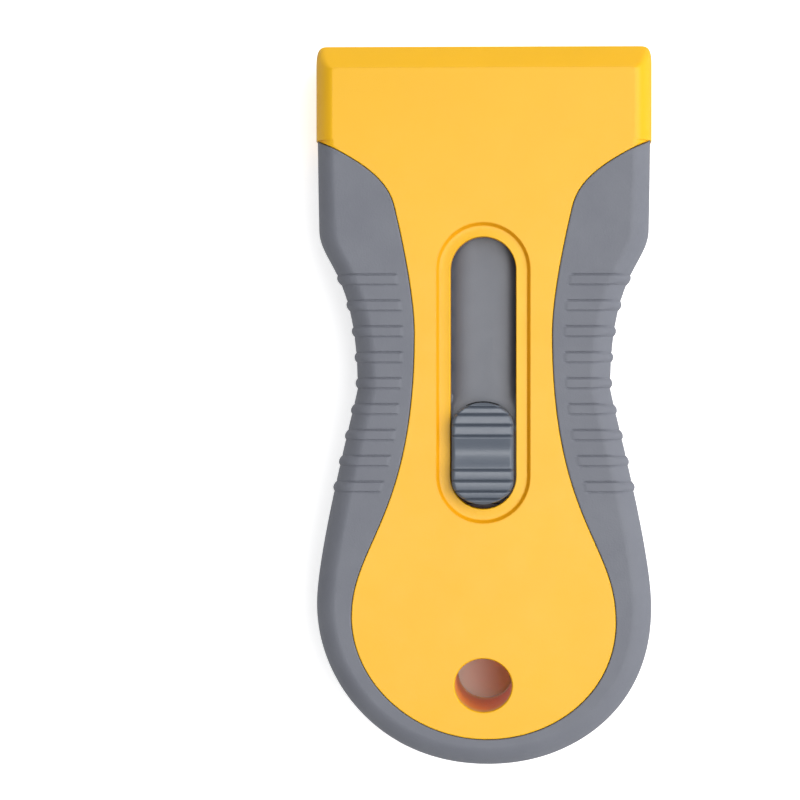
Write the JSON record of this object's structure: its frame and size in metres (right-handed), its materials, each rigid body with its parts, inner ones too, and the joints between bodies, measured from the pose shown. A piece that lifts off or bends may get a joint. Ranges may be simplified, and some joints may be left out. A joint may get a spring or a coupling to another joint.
{
  "type": "retractable blade scraper",
  "caption": "Hand scraper with a hard casing, a soft grip band, a thumb button and a sliding single-edge razor blade that retracts into the wide head.",
  "frame": {"origin": "centre of the bounding box's lowest face, on the flat back of the tool as it lies", "axes": "+X to the tool's right seen from the front, +Y along the tool towards the blade mouth, +Z through the thickness, from the flat back to the thumb button"},
  "size_m": [0.049, 0.105, 0.0155],
  "materials": {
    "hard_yellow": "satin moulded plastic",
    "soft_grey": "matte soft overmould",
    "moulded_grey": "satin moulded plastic",
    "steel": "pressed spring steel",
    "zinc": "bright zinc plate",
    "blade_steel": "fine brushed blade steel"
  },
  "bodies": {
    "handle": {"front_shell": "hard_yellow", "back_shell": "hard_yellow", "front_grip": "soft_grey", "back_grip": "soft_grey", "lock_strip": "steel", "neck_screw_right": "zinc", "neck_screw_left": "zinc", "tail_screw_right": "zinc", "tail_screw_left": "zinc"},
    "carrier": {"blade_carrier": "moulded_grey", "blade_clamp": "steel", "clamp_screw_right": "zinc", "clamp_screw_left": "zinc", "drag_spring": "steel", "drag_rivet": "zinc", "button_spring": "steel"},
    "button": {"thumb_button": "moulded_grey", "button_latch": "moulded_grey"},
    "blade": {"razor_blade": "blade_steel", "blade_spine": "blade_steel"}
  },
  "joints": [
    {"name": "carrier_slide", "type": "slide", "parent": "handle", "child": "carrier", "axis": [0, 1, 0], "range_m": [0, 0.0236]},
    {"name": "button_press", "type": "slide", "parent": "carrier", "child": "button", "axis": [0, 0, -1], "range_m": [0, 0.0012], "stiffness_N_per_m": 800, "springref_m": -0.001, "deforming": ["button_spring"]},
    {"name": "blade_change", "type": "slide", "parent": "carrier", "child": "blade", "axis": [0, 1, 0], "range_m": [0, 0.032]}
  ]
}
